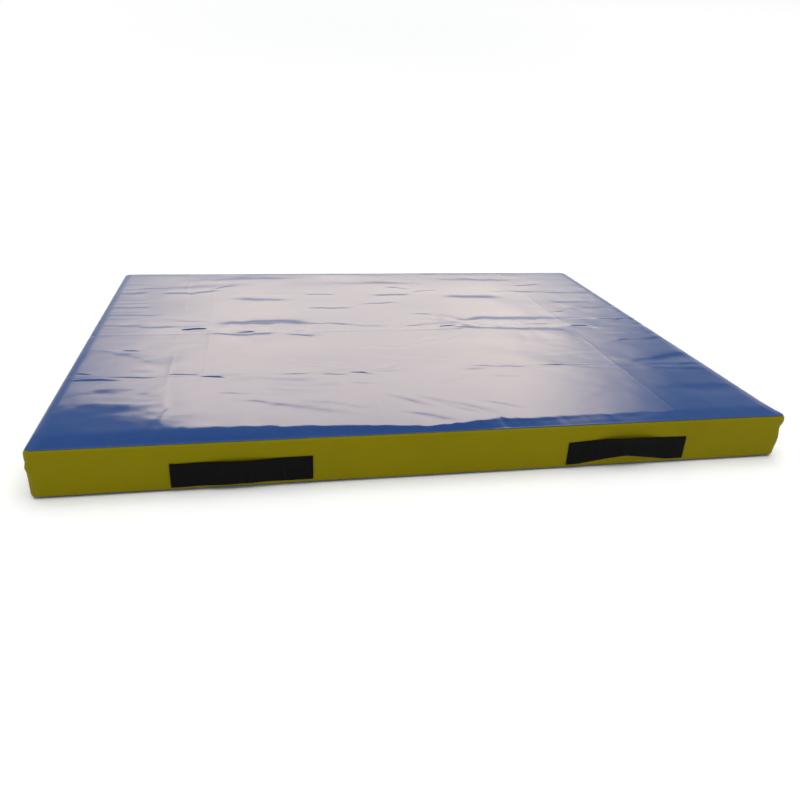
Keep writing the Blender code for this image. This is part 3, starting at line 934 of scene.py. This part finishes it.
PARKED = (ZIP["slider"][0] + ZIP["slider"][1]) / 2
CHAIN_IN = (ZIP["chain"][0].x + ZIP["chain"][1].x) / 2
CHAIN_FROM = ZIP["chain"][0].y - PARKED.y
CHAIN_TO = ZIP["chain"][1].y - PARKED.y
TAPE_OUT = 0.0001  # the tapes' outer face, from the middle of the chain
TAPE_THICK = 0.0007
COIL_PITCH = 0.0020
POST_STOP = TRAVEL - 0.0026  # the middle of the slider's post when the zip is open


def zip_piece(section, name, stands_for, shells, material="metal", body="section"):
    """One piece from several closed shells, each a list of points in the zip's own terms and a list of faces."""
    points, faces = [], []
    for shell_points, shell_faces in shells:
        base = len(points)
        points += [(CHAIN_IN - out, PARKED.y + along, ZIP_Z + up) for out, along, up in shell_points]
        faces += [tuple(base + i for i in f) for f in shell_faces]
    obj = section.piece(section.name(name), points, faces, material)
    bm = bmesh.new()
    bm.from_mesh(obj.data)
    bmesh.ops.recalc_face_normals(bm, faces=bm.faces)
    bm.to_mesh(obj.data)
    bm.free()
    section.ride(obj, f"zip_{material}", section.name(stands_for), body=body)


def from_lowest(face):
    """The face's corners, starting at its lowest number. A bevel starts and orders its faces anyhow."""
    k = face.index(min(face))
    return tuple(face[k:] + face[:k])


def slab(outline, low, high, bevel=0.0003, level=False):
    """A plate with rounded edges. Its outline is along and up, or out and along for a level plate."""
    bm = bmesh.new()
    face = bm.faces.new([bm.verts.new((a, b, low) if level else (low, a, b)) for a, b in outline])
    made = bmesh.ops.extrude_face_region(bm, geom=[face], use_keep_orig=True)
    moved = [v for v in made["geom"] if isinstance(v, bmesh.types.BMVert)]
    bmesh.ops.translate(bm, verts=moved, vec=(0, 0, high - low) if level else (high - low, 0, 0))
    rounding = {"segments": 2, "affect": "EDGES", "profile": 0.5, "clamp_overlap": True}
    bmesh.ops.bevel(bm, geom=bm.edges[:], offset=bevel, **rounding)
    bm.verts.index_update()
    points = [tuple(v.co) for v in bm.verts]
    faces = sorted(from_lowest([v.index for v in f.verts]) for f in bm.faces)
    bm.free()
    return points, faces


def rod(path, radius, sides=8, closed=False):
    """A round bar along points in the zip's own terms."""
    path = [Vector(p) for p in path]
    count = len(path)
    points = []
    for i, here in enumerate(path):
        before = path[i - 1] if closed or i else here
        after = path[(i + 1) % count] if closed or i < count - 1 else here
        forward = (after - before).normalized()
        side = forward.cross(Vector((1, 0, 0)))
        if side.length < 0.1:
            side = forward.cross(Vector((0, 1, 0)))
        side.normalize()
        other = forward.cross(side)
        size = radius if closed or 0 < i < count - 1 else radius * 0.55
        for k in range(sides):
            a = 2 * math.pi * k / sides
            points.append(tuple(here + side * (size * math.cos(a)) + other * (size * math.sin(a))))
    return points, tube_faces(count, sides, closed)


def make_coil(section):
    """Both rows of the closed nylon coil: each turn reaches past the middle, between two of the other row's."""
    shells = []
    count = int((CHAIN_TO - CHAIN_FROM - COIL_PITCH) / COIL_PITCH)
    for row in (-1, 1):
        tip, root, lean = -0.0007 * row, 0.0031 * row, 0.00025 * row
        for n in range(count):
            at = CHAIN_FROM + COIL_PITCH * (n + 0.75 + 0.25 * row)
            if abs(at - POST_STOP) < 0.0040:
                continue  # room for the slider's post where it comes to rest
            turn = [
                (TAPE_OUT + 0.0003, at - lean, tip),
                (TAPE_OUT + 0.0008, at - lean / 2, tip + 0.0006 * row),
                (TAPE_OUT + 0.0009, at + lean / 2, root - 0.0008 * row),
                (TAPE_OUT + 0.0002, at + lean, root),
            ]
            shells.append(rod(turn, 0.00052, 6))
    zip_piece(section, "zip_teeth", "zip_chain", shells, "coil")


def make_tape(section, word, side):
    """One woven tape, sewn behind the band. Its inner edge carries the coil."""
    low, high = ZIP[f"{word}_tape"]
    ys = np.linspace(low.y - PARKED.y, high.y - PARKED.y, 90)
    outer = max(abs(low.z - ZIP_Z), abs(high.z - ZIP_Z))
    zs = np.array([0.0003, 0.0012, 0.0025, 0.0040, 0.0056, 0.0080, 0.0120, outer]) * side
    y, z = np.meshgrid(ys, zs, indexing="ij")
    ripple = 0.00012 * noise(y * 90, z * 300 + 4, section.seed + 40)
    front = np.stack([CHAIN_IN - TAPE_OUT - ripple, PARKED.y + y, ZIP_Z + z], -1)
    points, faces = thick_sheet(front, front + np.array([TAPE_THICK, 0, 0]))
    if side > 0:
        faces = flipped(faces)
    obj = section.piece(section.name(f"zip_{word}_weave"), points, faces, "tape")
    add_cloth_uv(obj, y * 2.5, z * 2.5)  # its weave is finer than the webbing's
    section.ride(obj, "zip_tape", section.name(f"zip_{word}_tape"))


def make_stops(section):
    """Metal clips across the chain: one on each tape at the top, and one over both at the bottom."""
    for end, name, depth, spans in [
        ("top", "zip_top_clips", 0.0007, [(0.0008, 0.0040), (-0.0040, -0.0008)]),
        ("bottom", "zip_bottom_clip", 0.0009, [(-0.0042, 0.0042)]),
    ]:
        low, high = ZIP[f"{end}_stop"]
        start, stop = low.y - PARKED.y, high.y - PARKED.y
        shells = [slab(rectangle(start, stop, a, b), -depth, 0.0013) for a, b in spans]
        zip_piece(section, name, f"zip_{end}_stop", shells)


def make_slider(section):
    """Two shield-shaped plates held apart by a post, with flanges on their sides and a bridge for the pull."""
    low, high = ZIP["slider"]
    half, width = (high.y - low.y) / 2, (high.z - low.z) / 2
    inner, outer = 0.0016, 0.0027  # the plates' faces, from the middle of the chain
    side = [(half, width * 0.66), (half * 0.2, width), (-half * 0.55, width), (-half, width * 0.62)]
    shield = side + [(-half * 0.72, 0.0)] + [(a, -b) for a, b in reversed(side)]
    shells = [slab(shield, inner, outer, 0.0004), slab(shield, -outer, -inner, 0.0004)]
    for way in (-1, 1):
        flange = [
            (half * 0.92, way * (width * 0.66)),
            (half * 0.2, way * (width - 0.0001)),
            (-half * 0.5, way * (width - 0.0001)),
            (-half * 0.5, way * (width - 0.0012)),
            (half * 0.2, way * (width - 0.0012)),
            (half * 0.92, way * (width * 0.66 - 0.0010)),
        ]
        shells.append(slab(flange, 0.0011, inner + 0.0003, 0.0002))
        shells.append(slab(flange, -inner - 0.0003, -0.0011, 0.0002))
    post = [(-half * 0.68, 0.0), (-half * 0.35, 0.0010), (-half * 0.05, 0.0), (-half * 0.35, -0.0010)]
    shells.append(slab(post, -inner - 0.0002, inner + 0.0002, 0.0001))
    reach, rise, thick = 0.0050, 0.0040, 0.0012  # of the bridge
    square = 0.6  # squarer than a circle
    arch = []
    for in_by, turns in [(0.0, range(0, 13)), (thick, range(12, -1, -1))]:
        for k in turns:
            c, q = math.cos(math.pi * k / 12), math.sin(math.pi * k / 12)
            out = outer - 0.0003 + (rise - in_by) * abs(q) ** square
            arch.append((out, (reach - in_by) * math.copysign(abs(c) ** square, c)))
    shells.append(slab(arch, -0.0010, 0.0010, 0.00025, level=True))
    zip_piece(section, "zip_runner", "zip_slider", shells, body="slider")


def make_pull(section):
    """A tab with pressed ridges, hung on the bridge by a ring."""
    low, high = ZIP["pull"]
    axis = CHAIN_IN - (low.x + high.x) / 2
    end = high.y - PARKED.y
    half = (high.z - low.z) / 2
    thick, bend = 0.00065, 0.0009  # of the ring: half its thickness, and the radius of its corners
    near, far, wide = 0.0009, 0.0064, 0.0021 - bend
    path = []
    for quarter, (along, up) in enumerate([(far, wide), (near, wide), (near, -wide), (far, -wide)]):
        for k in range(4):
            a = math.radians(90 * quarter + 30 * k)
            path.append((axis, along + bend * math.cos(a), up + bend * math.sin(a)))
    shells = [rod(path, thick, 8, closed=True)]
    tab = [(far + 0.0006, -half * 0.7), (far + 0.0025, -half)]
    for k in range(9):
        a = math.radians(-90 + 180 * k / 8)
        tab.append((end - half + half * math.cos(a), half * math.sin(a)))
    tab += [(far + 0.0025, half), (far + 0.0006, half * 0.7)]
    shells.append(slab(tab, axis - 0.0006, axis + 0.0006, 0.0003))
    for n in range(5):
        at, up = end - 0.0130 + n * 0.0020, half * 0.62
        shells.append(slab(rectangle(at, at + 0.0009, -up, up), axis - 0.0009, axis + 0.0009, 0.0002))
    zip_piece(section, "zip_tab", "zip_pull", shells, body="pull")


def make_zip_sewing(section):
    """Two rows of topstitching round the opening, and the band's edges turned in behind it."""
    order = np.argsort(PATH_POINTS[LEFT_END, 1])
    end_ys, end_lengths = PATH_POINTS[LEFT_END, 1][order], PATH_LENGTHS[LEFT_END][order]

    def on_band(along, up, off):
        """A place on the band beside the zip, off above its surface."""
        y = PARKED.y + along
        out = band_out(np.interp(y, end_ys, end_lengths), ZIP_Z + up, section.seed)
        return np.array([LEFT - out - off, y, ZIP_Z + up])

    def on_top(along, up, off):
        return on_band(along, up, off + 0.0001)

    start, stop = ZIP_START - PARKED.y, ZIP_END - PARKED.y
    lines = []
    for gap in (0.0022, 0.0048):
        high = ZIP_HALF_SLOT + gap
        lines += loop_lines(rectangle(start - gap, stop + gap, -high, high))
    name = section.name("zip_topstitching")
    make_stitches(section, name, lines, on_top, "yellow_thread", "side_vinyl", length=0.0028)
    ys = np.linspace(start, stop, 70)
    turned_in = [(0.0005, 0.0), (0.0010, -0.0005), (0.0022, -0.0006), (0.0030, 0.0004)]
    for word, way in (("upper", 1), ("lower", -1)):
        rows = [[on_band(a, way * (ZIP_HALF_SLOT + up), -inward) for a in ys] for inward, up in turned_in]
        faces = grid_faces(len(rows), len(ys))
        if way > 0:
            faces = flipped(faces)
        hem = section.piece(section.name(f"zip_{word}_hem"), rows, faces, "side")
        section.ride(hem, "side_vinyl")


def make_zip(section):
    make_coil(section)
    make_tape(section, "upper", 1)
    make_tape(section, "lower", -1)
    make_stops(section)
    make_slider(section)
    make_pull(section)
    make_zip_sewing(section)


# ---- floor, light and camera

WINDOW_COLOUR = (1.0, 0.81, 0.56)
WINDOW_STRENGTH = 4.4
# The window's brightness, as a share of its strength, at each height.
WINDOW_GLOW = {
    0.10: 0.00, 0.20: 0.06, 0.25: 0.33, 0.29: 0.50, 0.37: 0.72, 0.47: 0.92,
    0.52: 0.90, 0.56: 0.66, 0.60: 0.38, 0.66: 0.13, 0.76: 0.00,
}
# The room's colour, from level to straight up.
ROOM = [
    (0.0, (1.0, 1.0, 1.0)),
    (0.08, (1.0, 1.0, 1.0)),
    (0.38, (0.28, 0.36, 0.50)),
    (0.50, (0.26, 0.34, 0.48)),
    (0.57, (0.17, 0.20, 0.26)),
    (0.70, (0.28, 0.30, 0.34)),
    (0.88, (1.0, 1.0, 1.0)),
]


def make_floor():
    mesh = bpy.data.meshes.new("floor")
    reach = 60.0
    corners = [(-reach, -reach, 0), (reach, -reach, 0), (reach, reach, 0), (-reach, reach, 0)]
    mesh.from_pydata(corners, [], [(0, 1, 2, 3)])
    mesh.materials.append(Surface("floor").finish((0.96, 0.95, 0.92, 1.0), 0.9, Specular_IOR_Level=0.1))
    floor = add_object("floor", mesh)
    floor.location.z = -0.0003


def make_light():
    """A soft studio: bright overhead, dim between, and a wide bright window low behind the mat.

    The window is drawn on a plane that stands across +Y, in multiples of the distance to it. Its top edge slopes,
    and both of its sides lean.
    """
    world = bpy.data.worlds.new("studio")
    bpy.context.scene.world = world
    world.use_nodes = True
    tree = world.node_tree

    def maths(operation, first, second):
        return math_node(tree, operation, first, second)

    def step(value, low, high, before, after):
        return map_range(tree, value, low, high, before, after, interpolation_type="SMOOTHSTEP")

    def add(first, second):
        return node(tree, "ShaderNodeVectorMath", {0: first, 1: second}, operation="ADD").outputs["Vector"]

    towards = node(tree, "ShaderNodeTexCoord", {}).outputs["Generated"]
    split = node(tree, "ShaderNodeSeparateXYZ", {"Vector": towards})
    x, y, z = (split.outputs[axis] for axis in "XYZ")
    ahead = maths("MAXIMUM", y, 0.001)
    across = maths("DIVIDE", x, ahead)
    height = maths("DIVIDE", z, ahead)
    slope = maths("SUBTRACT", height, maths("MULTIPLY", across, 0.264))
    leaning = maths("MULTIPLY", maths("SUBTRACT", height, 0.37), 0.42)
    glow = node(tree, "ShaderNodeFloatCurve", {"Value": height})
    curve = glow.mapping.curves[0]
    for place, share in WINDOW_GLOW.items():
        curve.points.new(place, share)
    curve.points[0].location = (0.0, 0.0)
    curve.points[-1].location = (1.0, 0.0)
    glow.mapping.update()
    window = glow.outputs["Value"]
    for limit in (
        step(slope, 0.510, 0.520, 1.0, 0.0),
        step(maths("ADD", across, leaning), -0.38, -0.04, 0.0, 1.0),
        step(maths("SUBTRACT", across, leaning), 0.35, 0.66, 1.0, 0.0),
        step(y, 0.10, 0.20, 0.0, 1.0),
        WINDOW_STRENGTH,
    ):
        window = maths("MULTIPLY", window, limit)
    light = node(tree, "ShaderNodeVectorMath", {0: WINDOW_COLOUR, "Scale": window}, operation="SCALE")
    overhead = step(z, 0.72, 0.90, 0.0, 1.5)
    white = node(tree, "ShaderNodeCombineXYZ", {"X": overhead, "Y": overhead, "Z": overhead})
    total = add(add(ramp(tree, z, ROOM), light.outputs["Vector"]), white.outputs["Vector"])
    set_inputs(tree, tree.nodes["Background"], {"Color": total, "Strength": 1.0})


def make_camera():
    data = bpy.data.cameras.new("camera")
    data.sensor_width = 36.0
    data.lens = 32.5
    camera = add_object("camera", data)
    camera.location = (-0.34, -1.80, 0.72)
    yaw, pitch, tilt = math.radians(12.0), math.radians(24.2), math.radians(2.8)
    forward = Vector((math.sin(yaw) * math.cos(pitch), math.cos(yaw) * math.cos(pitch), -math.sin(pitch)))
    right = Vector((math.cos(yaw), -math.sin(yaw), 0))
    up = right.cross(forward)
    turned_right = math.cos(tilt) * right + math.sin(tilt) * up
    turned_up = -math.sin(tilt) * right + math.cos(tilt) * up
    camera.rotation_mode = "QUATERNION"
    camera.rotation_quaternion = Matrix([turned_right, turned_up, -forward]).transposed().to_quaternion()
    bpy.context.scene.camera = camera


# ---- assembly

make_top()
for section in (Section("front"), Section("rear")):
    front = section.half == "front"
    make_foam_block(section)
    make_band(section)
    make_fold_wall(section)
    make_base(section)
    make_handle(section, -1, BOWED if front else SLACK)
    make_handle(section, 1, CUPPED if front else BOWED)
    make_zip(section)

make_floor()
make_light()
make_camera()
bpy.context.scene.view_settings.view_transform = "Standard"
